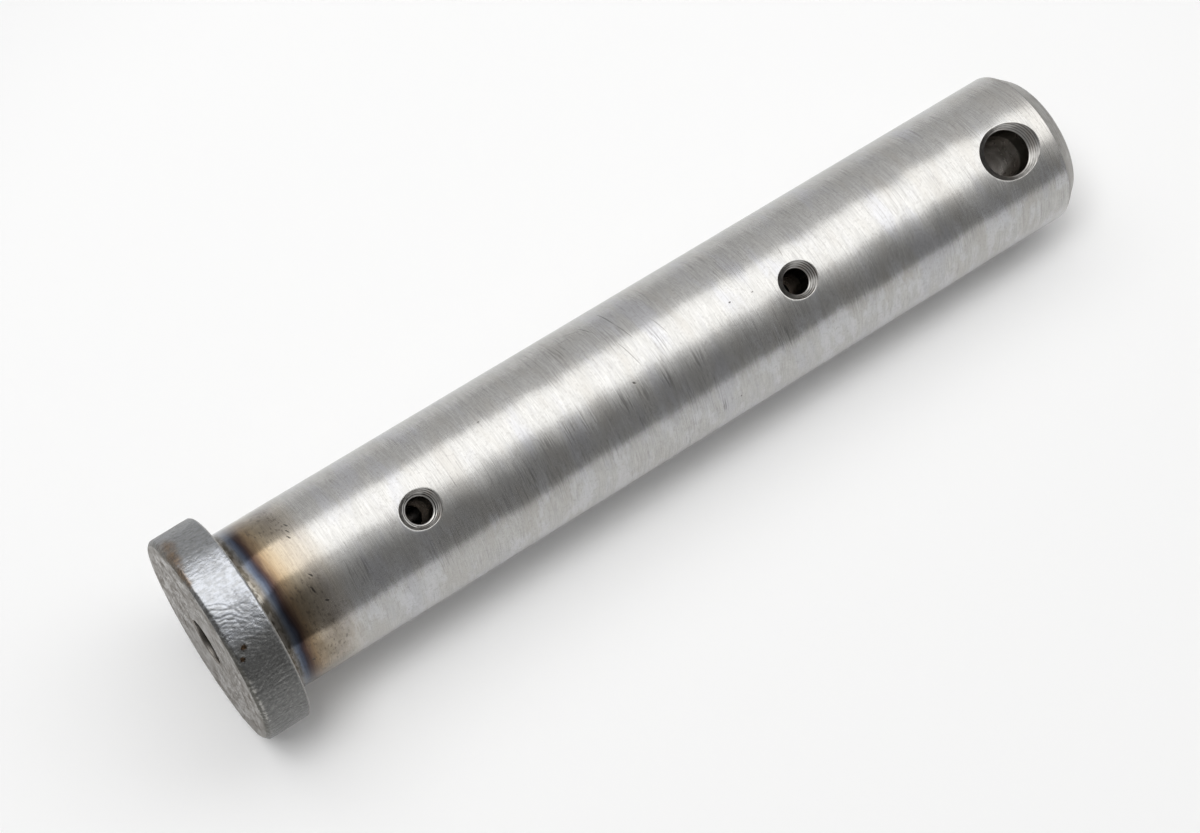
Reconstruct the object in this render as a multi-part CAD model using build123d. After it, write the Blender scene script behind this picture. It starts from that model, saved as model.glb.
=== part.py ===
from build123d import *
import math
import os

# A round-headed steel pin for a greased pivot, in millimetres.
# It stands on its head: the origin is the centre of the head's outer face, and +Z runs
# along the pin to its free end. The radial holes are in one row that faces -Y.

# Head: a disc that keeps the pin from passing through its boss
HEAD_DIAMETER = 65.0
HEAD_THICKNESS = 14.0
HEAD_FACE_CHAMFER = 1.1
HEAD_BACK_CHAMFER = 0.6

# Shaft: the ground journal between the head and the free end
SHAFT_DIAMETER = 50.0
SHAFT_LENGTH = 284.0
NECK_FILLET = 1.0

# Free end: a lead for driving the pin into its bushes
END_CHAMFER_LENGTH = 5.0
END_CHAMFER_DEPTH = 4.0

# Cross hole near the free end, right through, for the bolt that keeps the pin in
CROSS_HOLE_DIAMETER = 14.5
CROSS_HOLE_MOUTH = 20.4
CROSS_HOLE_FROM_END = 20.0

# Grease way: a blind gallery on the axis, drilled from the floor of a recess in the head
GALLERY_DIAMETER = 9.0
GALLERY_PAST_OUTLET = 8.0
RECESS_DIAMETER = 14.1
RECESS_DEPTH = 11.0
RECESS_CHAMFER = 0.3
DRILL_POINT_ANGLE = 118.0

# Outlets: two countersunk holes from the shaft's surface down to the gallery
OUTLET_DIAMETER = 8.0
OUTLET_MOUTH = 12.8
NEAR_OUTLET_FROM_HEAD = 52.5
FAR_OUTLET_FROM_HEAD = 184.0

# A 90 degree countersink loses as much radius as it goes deep
COUNTERSINK_ANGLE = 90.0

# Cutters stand this far out of the surface that they cut
CUTTER_OVERRUN = 2.0

# Worked out from the values above
HEAD_RADIUS = HEAD_DIAMETER / 2
SHAFT_RADIUS = SHAFT_DIAMETER / 2
FREE_END = HEAD_THICKNESS + SHAFT_LENGTH
CROSS_HOLE_STATION = FREE_END - CROSS_HOLE_FROM_END
OUTLET_STATIONS = [
    HEAD_THICKNESS + NEAR_OUTLET_FROM_HEAD,
    HEAD_THICKNESS + FAR_OUTLET_FROM_HEAD,
]


def cone_length(wide_diameter, narrow_diameter, angle):
    """Length of a cone of this included angle between two diameters."""
    return (wide_diameter - narrow_diameter) / 2 / math.tan(math.radians(angle / 2))


def turned_blank():
    """The head and shaft as one turned piece, before any hole is drilled."""
    with BuildPart() as blank:
        with BuildSketch(Plane.XZ):
            with BuildLine():
                Polyline(
                    (0, 0),
                    (HEAD_RADIUS - HEAD_FACE_CHAMFER, 0),
                    (HEAD_RADIUS, HEAD_FACE_CHAMFER),
                    (HEAD_RADIUS, HEAD_THICKNESS - HEAD_BACK_CHAMFER),
                    (HEAD_RADIUS - HEAD_BACK_CHAMFER, HEAD_THICKNESS),
                    (SHAFT_RADIUS + NECK_FILLET, HEAD_THICKNESS),
                )
                RadiusArc(
                    (SHAFT_RADIUS + NECK_FILLET, HEAD_THICKNESS),
                    (SHAFT_RADIUS, HEAD_THICKNESS + NECK_FILLET),
                    NECK_FILLET,
                )
                Polyline(
                    (SHAFT_RADIUS, HEAD_THICKNESS + NECK_FILLET),
                    (SHAFT_RADIUS, FREE_END - END_CHAMFER_LENGTH),
                    (SHAFT_RADIUS - END_CHAMFER_DEPTH, FREE_END),
                    (0, FREE_END),
                    (0, 0),
                )
            make_face()
        revolve(axis=Axis.Z)
    return blank.part


def countersink(hole_diameter, mouth_diameter):
    """A countersink's cutter: its mouth is at the origin and it narrows towards -Z."""
    half_angle = math.radians(COUNTERSINK_ANGLE / 2)
    widest = mouth_diameter + 2 * CUTTER_OVERRUN * math.tan(half_angle)
    deep = cone_length(mouth_diameter, hole_diameter, COUNTERSINK_ANGLE)
    with BuildPart() as cutter:
        with Locations((0, 0, -deep)):
            Cone(
                bottom_radius=hole_diameter / 2,
                top_radius=widest / 2,
                height=deep + CUTTER_OVERRUN,
                align=(Align.CENTER, Align.CENTER, Align.MIN),
            )
    return cutter.part


def drilled_hole(diameter, length):
    """A drill's straight cutter from just above the surface, down along -Z."""
    with BuildPart() as cutter:
        with Locations((0, 0, CUTTER_OVERRUN)):
            Cylinder(
                radius=diameter / 2,
                height=length + CUTTER_OVERRUN,
                align=(Align.CENTER, Align.CENTER, Align.MAX),
            )
    return cutter.part


def on_row(station, side=-1):
    """The plane on the shaft's surface at this height, on the -Y or the +Y side."""
    return Plane(
        origin=(0, side * SHAFT_RADIUS, station),
        x_dir=(1, 0, 0),
        z_dir=(0, side, 0),
    )


def cross_hole():
    """The bolt's hole, right through the shaft and countersunk at both ends."""
    near = on_row(CROSS_HOLE_STATION, -1)
    far = on_row(CROSS_HOLE_STATION, +1)
    bore = drilled_hole(CROSS_HOLE_DIAMETER, SHAFT_DIAMETER + CUTTER_OVERRUN)
    sink = countersink(CROSS_HOLE_DIAMETER, CROSS_HOLE_MOUTH)
    return [near * bore, near * sink, far * sink]


def outlet(station):
    """A grease outlet, from the shaft's surface to the gallery on the axis."""
    surface = on_row(station)
    bore = drilled_hole(OUTLET_DIAMETER, SHAFT_RADIUS)
    sink = countersink(OUTLET_DIAMETER, OUTLET_MOUTH)
    return [surface * bore, surface * sink]


def gallery():
    """The recess in the head and the grease way on the axis, each with its drill point."""
    straight_end = max(OUTLET_STATIONS) + GALLERY_PAST_OUTLET
    point = cone_length(GALLERY_DIAMETER, 0, DRILL_POINT_ANGLE)
    recess_floor = RECESS_DEPTH + cone_length(RECESS_DIAMETER, GALLERY_DIAMETER, DRILL_POINT_ANGLE)
    recess_radius = RECESS_DIAMETER / 2
    with BuildPart() as cutter:
        with BuildSketch(Plane.XZ):
            with BuildLine():
                Polyline(
                    (0, -CUTTER_OVERRUN),
                    (recess_radius + RECESS_CHAMFER, -CUTTER_OVERRUN),
                    (recess_radius + RECESS_CHAMFER, 0),
                    (recess_radius, RECESS_CHAMFER),
                    (recess_radius, RECESS_DEPTH),
                    (GALLERY_DIAMETER / 2, recess_floor),
                    (GALLERY_DIAMETER / 2, straight_end),
                    (0, straight_end + point),
                    (0, -CUTTER_OVERRUN),
                )
            make_face()
        revolve(axis=Axis.Z)
    return [cutter.part]


def pin():
    """The whole pin: the turned blank with its holes drilled."""
    body = turned_blank()
    cutters = cross_hole() + gallery()
    for station in OUTLET_STATIONS:
        cutters += outlet(station)
    for cutter in cutters:
        body = body - cutter
    return body


os.makedirs("parts", exist_ok=True)
export_step(pin(), "parts/pin.step")
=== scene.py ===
import math

import bmesh
import bpy
import numpy as np
from mathutils import Matrix, Vector, noise


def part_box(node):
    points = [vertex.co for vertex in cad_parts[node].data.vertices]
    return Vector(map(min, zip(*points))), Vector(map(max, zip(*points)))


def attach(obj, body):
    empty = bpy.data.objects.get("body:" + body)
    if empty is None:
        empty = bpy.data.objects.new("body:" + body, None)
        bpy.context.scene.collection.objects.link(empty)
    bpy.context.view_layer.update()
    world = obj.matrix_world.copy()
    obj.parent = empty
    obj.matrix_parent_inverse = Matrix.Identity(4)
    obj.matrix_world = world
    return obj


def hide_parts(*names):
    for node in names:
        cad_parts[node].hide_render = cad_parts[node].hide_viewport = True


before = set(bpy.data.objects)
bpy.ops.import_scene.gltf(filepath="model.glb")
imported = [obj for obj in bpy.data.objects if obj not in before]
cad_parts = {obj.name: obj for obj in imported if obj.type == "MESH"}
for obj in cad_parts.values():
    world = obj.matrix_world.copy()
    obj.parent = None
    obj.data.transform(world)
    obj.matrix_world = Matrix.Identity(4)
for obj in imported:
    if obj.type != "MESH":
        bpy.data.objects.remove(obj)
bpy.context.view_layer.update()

# The pin is meshed in millimetres, standing on its head as the frame has it, and then scaled.
MM = 0.001
_, PIN_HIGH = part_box("pin")

# Turned body
HEAD_RADIUS = PIN_HIGH.x / MM
FREE_END = PIN_HIGH.z / MM
HEAD_THICKNESS = 14.0
HEAD_FACE_CHAMFER = 1.1
HEAD_BACK_CHAMFER = 0.6
SHAFT_RADIUS = 25.0
NECK_FILLET = 1.0
SHAFT_BOTTOM = HEAD_THICKNESS + NECK_FILLET
END_CHAMFER_LENGTH = 5.0
END_CHAMFER_DEPTH = 4.0
CHAMFER_START = FREE_END - END_CHAMFER_LENGTH

# How far back from its corner each edge is rounded
END_BREAK = 0.25
RIM_BREAK = 0.22
RECESS_BREAK = 0.08
SHAFT_TOP = CHAMFER_START - END_BREAK

# Radial holes, in one row that faces -Y: heights, and radii of the bore and of the countersink's mouth
OUTLET_HEIGHTS = (66.5, 198.0)
OUTLET_RADIUS = 4.0
OUTLET_MOUTH = 6.4
CROSS_HEIGHT = FREE_END - 20.0
CROSS_RADIUS = 7.25
CROSS_MOUTH = 10.2
BURR = 0.07
FRONT = -1
BACK = +1

# Rings that the cutters left in the countersinks: their spacing, how far in from the mouth they start and
# have their full depth, how many there are, and how deep
RING_STEP = 0.54
FIRST_CREST = 0.05
RING_START = 0.3
RING_FULL = 1.0
NEAR_RINGS = (4, 0.15)
FAR_RINGS = (4, 0.09)
CROSS_RINGS = (5, 0.07)

# Recess in the head's face, and the grease gallery on the axis from its floor, each with a drill's point
DRILL_SLOPE = math.tan(math.radians(59.0))
GALLERY_RADIUS = 4.5
GALLERY_STRAIGHT_END = OUTLET_HEIGHTS[1] + 8.0
RECESS_RADIUS = 7.05
RECESS_DEPTH = 11.0
RECESS_CHAMFER = 0.3
RECESS_LIP = RECESS_RADIUS + RECESS_CHAMFER + 0.1
RECESS_FLOOR = RECESS_DEPTH + (RECESS_RADIUS - GALLERY_RADIUS) / DRILL_SLOPE
GALLERY_START = RECESS_FLOOR + 2.0

# How fine the mesh is: columns round each surface, and half the columns of the square round a hole
SHAFT_COLUMNS = 192
HEAD_COLUMNS = 4 * SHAFT_COLUMNS
GALLERY_COLUMNS = SHAFT_COLUMNS // 4
OUTLET_SQUARE = 12
CROSS_SQUARE = 18

# The holes that come through a round wall: height, half the columns of the square, and the sides
OUTLETS = [(height, OUTLET_SQUARE, (FRONT,)) for height in OUTLET_HEIGHTS]
SHAFT_HOLES = OUTLETS + [(CROSS_HEIGHT, CROSS_SQUARE, (FRONT, BACK))]

# The longest rows of the plain walls, the head's face, the end's chamfer, the bores and the rim
WALL_ROW = 6.0
FACE_ROW = 3.7
END_ROW = 1.3
BORE_ROW = 1.2
RIM_ROW = 0.35

# Radii where the mesh of the head's face and back, and of the end's face, gets finer or coarser
FACE_INNER = 8.6
FACE_MIDDLE = 10.5
PLAIN_OUTER = 28.6
WORN_INNER = 30.2
END_RINGS = (18.0, 14.0, 8.0, 3.5)

# Edges that turn by more than this are sharp, and points that are nearer than this are one
SHARP_ANGLE = math.radians(32.0)
WELD = 0.002

# Rolled skin on the head's rim, pressed in from the rim's true radius, and how far the turned finish of
# the face and of the back comes over its edges
RIPPLE_DEPTH = 0.26
EDGE_WANDER = 0.45
FACE_OVER = 0.15
BACK_OVER = 0.05

# How far the ripples lean from the pin's axis, in degrees, and how strong they are, by angle round the rim
RIPPLE_ANGLES = (0.0, 200.0, 225.0, 250.0, 268.0, 284.0, 300.0, 335.0, 352.0, 360.0)
RIPPLE_LEANS = (0.0, 0.0, 0.0, 0.0, 30.0, 30.0, -15.0, -15.0, 0.0, 0.0)
RIPPLE_SHARES = (0.7, 0.7, 0.6, 0.45, 0.8, 1.0, 0.9, 0.9, 0.8, 0.7)

# The flat sheet, in millimetres, on which every surface is laid out for OFBake, and where each one starts
SHEET_SIZE = 380.0
SHAFT_SHEET = (2.0, 6.0)
NECK_SHEET = (2.0, 4.4)
HEAD_SHEET = (165.0, 2.0)
RECESS_SHEET = (165.0, 96.0)
GALLERY_SHEET = (165.0, 100.0)
FACE_SHEET = (196.0, 62.0)
BACK_SHEET = (262.0, 62.0)
END_SHEET = (322.0, 62.0)
NEAR_OUTLET_SHEET = (205.0, 105.0)
FAR_OUTLET_SHEET = (255.0, 105.0)
CROSS_SHEET = (205.0, 145.0)
CROSS_BACK_SHEET = (205.0, 205.0)

# Finishes, in the order of the mesh's material slots
GROUND, ROLLED, TURNED, DRILLED, SUNK = range(5)


def new_object(name, data):
    made = bpy.data.objects.new(name, data)
    bpy.context.scene.collection.objects.link(made)
    return made


def stacked(*parts):
    """Arrays of one coordinate each, joined into one array of points."""
    return np.stack(np.broadcast_arrays(*parts), axis=-1)


def turn_angles(columns):
    return np.linspace(0.0, 2.0 * math.pi, columns + 1)


def revolved(profile, columns):
    """Points of a profile of (radius, height) turned about the axis: a row for each profile point."""
    radius, height = np.array(profile).T[..., None]
    angle = turn_angles(columns)
    return stacked(radius * np.cos(angle), radius * np.sin(angle), height)


def unrolled(profile, columns, reference):
    """A turned surface laid flat, by unrolling it at a reference radius."""
    steps = np.hypot(*np.diff(np.array(profile), axis=0).T)
    along = np.concatenate([[0.0], np.cumsum(steps)])
    return stacked(turn_angles(columns) * reference, along[:, None])


class Skin:
    """Collects the pin's surfaces as grids of points, which are welded into one closed mesh."""

    def __init__(self):
        self.points = []
        self.flat = []
        self.faces = []
        self.finishes = []

    def add_points(self, points, flat, corner):
        """Adds points, and where they lie on the flat sheet from a corner of their own."""
        start = len(self.points)
        self.points.extend(points.reshape(-1, 3).tolist())
        self.flat.extend((flat + corner).reshape(-1, 2).tolist())
        return start

    def grid(self, points, flat, corner, finish, keep=None):
        """Four-sided faces between rows of points; keep says which of them are made."""
        rows, columns = points.shape[:2]
        start = self.add_points(points, flat, corner)
        for row in range(rows - 1):
            for column in range(columns - 1):
                if keep is not None and not keep[row, column]:
                    continue
                first = start + row * columns + column
                self.faces.append((first, first + 1, first + columns + 1, first + columns))
                self.finishes.append(finish)

    def turned(self, profile, columns, reference, corner, finish, keep=None):
        """A profile turned about the axis, laid flat by unrolling it at a reference radius."""
        flat = unrolled(profile, columns, reference)
        self.grid(revolved(profile, columns), flat, corner, finish, keep)

    def disc(self, radii, height, columns, centre):
        """A turned flat face between rings of these radii."""
        points = revolved([(radius, height) for radius in radii], columns)
        self.grid(points, points[..., :2], centre, TURNED)

    def fan(self, inner, outer, height, columns, centre):
        """A turned flat face between an inner ring and an outer one of four times its columns."""
        rings = revolved([(inner, height)], columns)[0], revolved([(outer, height)], 4 * columns)[0]
        inside, outside = [self.add_points(ring, ring[:, :2], centre) for ring in rings]
        for step in range(columns):
            near, far, first = inside + step, inside + step + 1, outside + 4 * step
            for part, tip in enumerate((near, near, far, far)):
                self.faces.append((tip, first + part, first + part + 1))
            self.faces.append((near, first + 2, far))
            self.finishes += [TURNED] * 5

    def mesh(self, name):
        """The welded mesh in metres, with its normals outward and its flat layout as OFBake."""
        made = bpy.data.meshes.new(name)
        made.from_pydata((np.array(self.points) * MM).tolist(), [], self.faces)
        made.polygons.foreach_set("material_index", self.finishes)
        layer = made.uv_layers.new(name="OFBake")
        corners = [corner for face in self.faces for corner in face]
        flat = np.array(self.flat)[corners] / SHEET_SIZE
        layer.data.foreach_set("uv", flat.ravel())
        work = bmesh.new()
        work.from_mesh(made)
        bmesh.ops.remove_doubles(work, verts=work.verts, dist=WELD * MM)
        loose = [vert for vert in work.verts if not vert.link_faces]
        bmesh.ops.delete(work, geom=loose, context="VERTS")
        bmesh.ops.recalc_face_normals(work, faces=work.faces)
        work.to_mesh(made)
        work.free()
        made.shade_smooth()
        made.set_sharp_from_angle(angle=SHARP_ANGLE)
        return made


def eased(corners, size):
    """A profile with each of its inner corners rounded over this length."""
    corners = [Vector(corner) for corner in corners]
    made = [corners[0]]
    for before, corner, after in zip(corners, corners[1:], corners[2:]):
        back = (before - corner).normalized() * size
        ahead = (after - corner).normalized() * size
        made += [corner + back, corner + (back + ahead) * 0.3, corner + ahead]
    return [tuple(corner) for corner in made + corners[-1:]]


def divided(profile, longest):
    """A profile with its long straight runs cut into equal steps."""
    made = [profile[0]]
    for start, end in zip(profile, profile[1:]):
        length = math.dist(start, end)
        steps = max(1, math.ceil(length / longest - 1e-6))
        for step in range(1, steps + 1):
            share = step / steps
            made.append(tuple(a + (b - a) * share for a, b in zip(start, end)))
    return made


# Holes: positions are given across the hole, along the pin and in depth under the shaft's crest

def square_walk(half):
    """Once round a square in unit steps, from the middle of its +across side."""
    first = [(half, step) for step in range(half)]
    top = [(half - step, half) for step in range(2 * half)]
    left = [(-half, half - step) for step in range(2 * half)]
    bottom = [(-half + step, -half) for step in range(2 * half)]
    last = [(half, -half + step) for step in range(half + 1)]
    return np.array(first + top + left + bottom + last, float)


def column_step(radius, columns):
    return 2.0 * math.pi * radius / columns


def at_hole(across, along, depth, height, side):
    """Points of a hole on the row that faces -Y or on the +Y side, from its own measures."""
    return stacked(-side * across, side * (SHAFT_RADIUS - depth), height + along)


def on_wall(inner, radius, columns, half, shares, height, side):
    """Points of a round wall between a hole's edge and its square of the grid, and their flat places."""
    square = square_walk(half) * column_step(radius, columns)
    flat = inner + (square - inner) * shares[:, None, None]
    turn = flat[..., 0] / radius
    depth = SHAFT_RADIUS - radius * np.cos(turn)
    return at_hole(radius * np.sin(turn), flat[..., 1], depth, height, side), flat


def mouth_edge(mouth, turns):
    """How far from the hole's axis the countersink's cone comes out of the round shaft."""
    edge = np.full_like(turns, mouth)
    for _ in range(40):
        sag = SHAFT_RADIUS - np.sqrt(SHAFT_RADIUS**2 - (edge * np.cos(turns)) ** 2)
        edge = mouth - sag
    return edge


def cone_rows(mouth, bore, rings, edge):
    """Radius and depth of the cone's rows: crests and grooves in turn, as the cutter's lips left them."""
    count, deep = rings
    rows = [(edge - BURR, mouth - edge + BURR)]
    step = RING_STEP / 2.0
    for place in range(1, 2 * count + 1):
        inside = rows[-1][0] - 0.02
        radius = mouth - FIRST_CREST - place * step
        groove = np.clip((edge - radius - RING_START) / (RING_FULL - RING_START), 0.0, 1.0)
        groove *= deep if place % 2 else 0.0
        radius = np.minimum(radius, inside)
        rows.append((radius, mouth - radius + groove))
    rows.append((np.full_like(edge, bore), np.full_like(edge, mouth - bore)))
    return rows


def surround(skin, half, edge, height, side):
    """The shaft's surface between a hole's edge and the square that the hole takes of the grid."""
    turns = turn_angles(8 * half)
    arc = SHAFT_RADIUS * np.arcsin(edge * np.cos(turns) / SHAFT_RADIUS)
    shares = np.linspace(0.0, 1.0, half * 2 // 3 + 1) ** 1.25
    inner = stacked(arc, edge * np.sin(turns))
    points, flat = on_wall(inner, SHAFT_RADIUS, SHAFT_COLUMNS, half, shares, height, side)
    middle = SHAFT_RADIUS * math.pi * (1.5 if side == FRONT else 0.5)
    corner = (SHAFT_SHEET[0] + middle, SHAFT_SHEET[1] + height - SHAFT_BOTTOM)
    skin.grid(points, flat, corner, GROUND)


def countersink(skin, half, mouth, bore, rings, height, side, corner):
    """The edge, cone and rings of a countersink, down to its bore. Returns the cone's depth."""
    turns = turn_angles(8 * half)
    edge = mouth_edge(mouth, turns)
    surround(skin, half, edge + BURR, height, side)
    outer_across = (edge + BURR) * np.cos(turns)
    outer_depth = SHAFT_RADIUS - np.sqrt(SHAFT_RADIUS**2 - outer_across**2)
    crest = edge - 0.1 * BURR
    rows = [(edge + BURR, outer_depth), (crest, mouth - crest + 0.3 * BURR)]
    rows += cone_rows(mouth, bore, rings, edge)
    radius, depth = np.array(rows).swapaxes(0, 1)
    points = at_hole(radius * np.cos(turns), radius * np.sin(turns), depth, height, side)
    along = (mouth - radius.mean(axis=1) + BURR)[:, None] * math.sqrt(2.0)
    skin.grid(points, stacked(turns * mouth, along), corner, SUNK)
    return mouth - bore


def outlet(skin, height, rings, corner):
    """A grease outlet: countersink, bore and the place where it comes into the gallery."""
    half = OUTLET_SQUARE
    turns = turn_angles(8 * half)
    top = countersink(skin, half, OUTLET_MOUTH, OUTLET_RADIUS, rings, height, FRONT, corner)
    across = OUTLET_RADIUS * np.cos(turns)
    along = OUTLET_RADIUS * np.sin(turns)
    bottom = SHAFT_RADIUS - np.sqrt(GALLERY_RADIUS**2 - across**2)
    depth = top + (bottom - top) * np.linspace(0.0, 1.0, 10)[:, None]
    flat = stacked(turns * OUTLET_MOUTH, depth + 2.5)
    skin.grid(at_hole(across, along, depth, height, FRONT), flat, corner, DRILLED)
    inner = stacked(GALLERY_RADIUS * np.arcsin(across / GALLERY_RADIUS), along)
    shares = np.linspace(0.0, 1.0, 6)
    points, flat = on_wall(inner, GALLERY_RADIUS, GALLERY_COLUMNS, half, shares, height, FRONT)
    place = (GALLERY_SHEET[0] + GALLERY_RADIUS * math.pi * 1.5, GALLERY_SHEET[1] + height)
    skin.grid(points, flat, place, DRILLED)


def cross_hole(skin, rings):
    """The bolt's hole, right through the shaft and countersunk at both ends."""
    half = CROSS_SQUARE
    turns = turn_angles(8 * half)
    for side, corner in ((FRONT, CROSS_SHEET), (BACK, CROSS_BACK_SHEET)):
        top = countersink(skin, half, CROSS_MOUTH, CROSS_RADIUS, rings, CROSS_HEIGHT, side, corner)
    depth = np.linspace(top, 2.0 * SHAFT_RADIUS - top, 13)[:, None]
    across = CROSS_RADIUS * np.cos(turns)
    along = CROSS_RADIUS * np.sin(turns)
    flat = stacked(turns * CROSS_MOUTH, depth + 6.0)
    skin.grid(at_hole(across, along, depth, CROSS_HEIGHT, FRONT), flat, CROSS_SHEET, DRILLED)


def heights_round(holes, step, start, end):
    """Heights of a wall's rows, matched to the squares round its holes, and coarser between them."""
    made = [start]
    for middle, half, _ in holes:
        low = middle - half * step
        made += np.linspace(made[-1], low, math.ceil((low - made[-1]) / WALL_ROW) + 1)[1:].tolist()
        made += (middle + np.arange(-half + 1, half + 1) * step).tolist()
    made += np.linspace(made[-1], end, math.ceil((end - made[-1]) / WALL_ROW) + 1)[1:].tolist()
    return np.array(made)


def outside_holes(heights, columns, holes, step):
    """Which faces of a wall stay, where the squares round its holes are left out."""
    middles = (heights[:-1] + heights[1:]) / 2.0
    places = np.arange(columns) + 0.5
    keep = np.ones((len(middles), columns), bool)
    for height, half, sides in holes:
        rows = abs(middles - height) < half * step
        for side in sides:
            centre = columns * 3 // 4 if side == FRONT else columns // 4
            keep &= ~(rows[:, None] & (abs(places - centre) < half)[None, :])
    return keep


def round_wall(skin, radius, columns, ends, holes, corner, finish):
    """A plain round wall between two heights, without its holes' squares."""
    step = column_step(radius, columns)
    heights = heights_round(holes, step, *ends)
    profile = [(radius, height) for height in heights]
    keep = outside_holes(heights, columns, holes, step)
    skin.turned(profile, columns, radius, corner, finish, keep)


def shaft_wall(skin):
    """The ground barrel between the neck and the end chamfer."""
    heights = SHAFT_BOTTOM, SHAFT_TOP
    round_wall(skin, SHAFT_RADIUS, SHAFT_COLUMNS, heights, SHAFT_HOLES, SHAFT_SHEET, GROUND)


def free_end(skin):
    """The end chamfer with its broken edges, and the turned end face."""
    corners = [
        (SHAFT_RADIUS, SHAFT_TOP),
        (SHAFT_RADIUS, CHAMFER_START),
        (SHAFT_RADIUS - END_CHAMFER_DEPTH, FREE_END),
        (END_RINGS[0], FREE_END),
    ]
    profile = divided(eased(corners, END_BREAK)[1:], END_ROW)
    corner = (SHAFT_SHEET[0], SHAFT_SHEET[1] + SHAFT_TOP - SHAFT_BOTTOM)
    skin.turned(profile, SHAFT_COLUMNS, SHAFT_RADIUS, corner, TURNED)
    skin.disc(END_RINGS[:2], FREE_END, SHAFT_COLUMNS, END_SHEET)
    columns = SHAFT_COLUMNS
    for outer, inner in zip(END_RINGS[1:], END_RINGS[2:]):
        columns //= 4
        skin.fan(inner, outer, FREE_END, columns, END_SHEET)
    skin.disc((END_RINGS[-1], 0.0), FREE_END, columns, END_SHEET)


def neck(skin):
    """The head's back face inside its worked rim, and the small fillet up to the shaft."""
    foot = SHAFT_RADIUS + NECK_FILLET
    skin.fan(PLAIN_OUTER, WORN_INNER, HEAD_THICKNESS, SHAFT_COLUMNS, BACK_SHEET)
    skin.disc((PLAIN_OUTER, foot), HEAD_THICKNESS, SHAFT_COLUMNS, BACK_SHEET)
    turns = np.linspace(0.0, math.pi / 2.0, 6)
    fillet = stacked(foot - NECK_FILLET * np.sin(turns), SHAFT_BOTTOM - NECK_FILLET * np.cos(turns))
    skin.turned(fillet, SHAFT_COLUMNS, SHAFT_RADIUS, NECK_SHEET, GROUND)


def gallery(skin):
    """The recess in the head's face, the grease way's long wall and the drill's point."""
    start, end = GALLERY_START, GALLERY_STRAIGHT_END
    skin.disc((FACE_INNER, RECESS_LIP), 0.0, GALLERY_COLUMNS, FACE_SHEET)
    corners = [
        (RECESS_LIP, 0.0),
        (RECESS_RADIUS + RECESS_CHAMFER, 0.0),
        (RECESS_RADIUS, RECESS_CHAMFER),
        (RECESS_RADIUS, RECESS_DEPTH),
        (GALLERY_RADIUS, RECESS_FLOOR),
        (GALLERY_RADIUS, start),
    ]
    profile = divided(eased(corners, RECESS_BREAK), BORE_ROW)
    skin.turned(profile, GALLERY_COLUMNS, GALLERY_RADIUS, RECESS_SHEET, DRILLED)
    corner = (GALLERY_SHEET[0], GALLERY_SHEET[1] + start)
    round_wall(skin, GALLERY_RADIUS, GALLERY_COLUMNS, (start, end), OUTLETS, corner, DRILLED)
    point = divided([(GALLERY_RADIUS, end), (0.0, end + GALLERY_RADIUS / DRILL_SLOPE)], BORE_ROW)
    corner = (GALLERY_SHEET[0], GALLERY_SHEET[1] + end)
    skin.turned(point, GALLERY_COLUMNS, GALLERY_RADIUS, corner, DRILLED)


def clipped(value):
    return min(1.0, max(0.0, value))


def lumps(spot, size, shift=(0.0, 0.0, 0.0)):
    """Noise from -1 to 1 with lumps of about this size; a shift makes it another pattern."""
    return noise.noise(spot / size + Vector(shift))


def rolled_height(x, y, z):
    """Height of the rolled skin at a point of the rim, from 0, deepest, to 1."""
    angle = math.degrees(math.atan2(y, x)) % 360.0
    lean = math.radians(np.interp(angle, RIPPLE_ANGLES, RIPPLE_LEANS))
    share = np.interp(angle, RIPPLE_ANGLES, RIPPLE_SHARES)
    turned = math.radians(angle) - math.tan(lean) * z / HEAD_RADIUS
    spot = Vector((x, y, z))
    # Ridges that are drawn out along the rim's height, bent by larger lumps and broken up by smaller ones
    drift = lumps(spot, 6.0, (7.0, 3.0, 1.0))
    bend = Vector((0.7, 0.7, 1.4)) * lumps(spot, 7.0)
    bend += Vector((0.35, 0.35, 0.2)) * lumps(spot, 2.2, (2.0, 9.0, 4.0))
    drawn = Vector((HEAD_RADIUS * math.cos(turned), HEAD_RADIUS * math.sin(turned), z * 0.36)) + bend
    ridges = min(1.0, abs(lumps(drawn, 1.45)) * 5.0)
    grain = lumps(spot, 0.9, (0.0, 5.0, 0.0))
    return clipped(0.5 + share * 0.5 * (ridges - 0.6) * (0.8 + 0.7 * drift) + 0.08 * grain + 0.25 * drift)


def worn(points):
    """The head's outer part with its rolled skin's ripples and its wandering, bruised edges."""
    made = points.copy()
    for spot in made.reshape(-1, 3):
        x, y, z = spot
        radius = math.hypot(x, y)
        share = clipped((radius - WORN_INNER) / 1.6)
        spread = Vector((x, y, 0.0))
        bruise = lumps(spread, 2.3, (0.0, 0.0, 4.0))
        nick = lumps(spread, 0.9, (0.0, 0.0, 8.0))
        wander = lumps(spread, 8.5) * 0.6 + bruise * 0.5 + nick * 0.25
        # The face's edge is bruised and wanders along the pin, and so does the back's, but less
        low_edge = math.exp(-(((z - HEAD_FACE_CHAMFER * 0.5) / 1.1) ** 2)) * share
        top_edge = math.exp(-(((z - HEAD_THICKNESS) / 0.8) ** 2)) * share
        dip = RIPPLE_DEPTH * (1.0 - rolled_height(x, y, z)) * share
        dip += 0.16 * EDGE_WANDER * (1.0 + wander) * (low_edge + 0.6 * top_edge)
        spot[:2] *= (radius - dip) / radius
        if 0.0 < z < HEAD_THICKNESS:
            spot[2] += EDGE_WANDER * wander * low_edge * min(1.0, z / HEAD_FACE_CHAMFER) * 0.8
            spot[2] -= 0.4 * EDGE_WANDER * (0.5 + 0.5 * wander) * top_edge * min(1.0, HEAD_THICKNESS - z)
    return made


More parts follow.
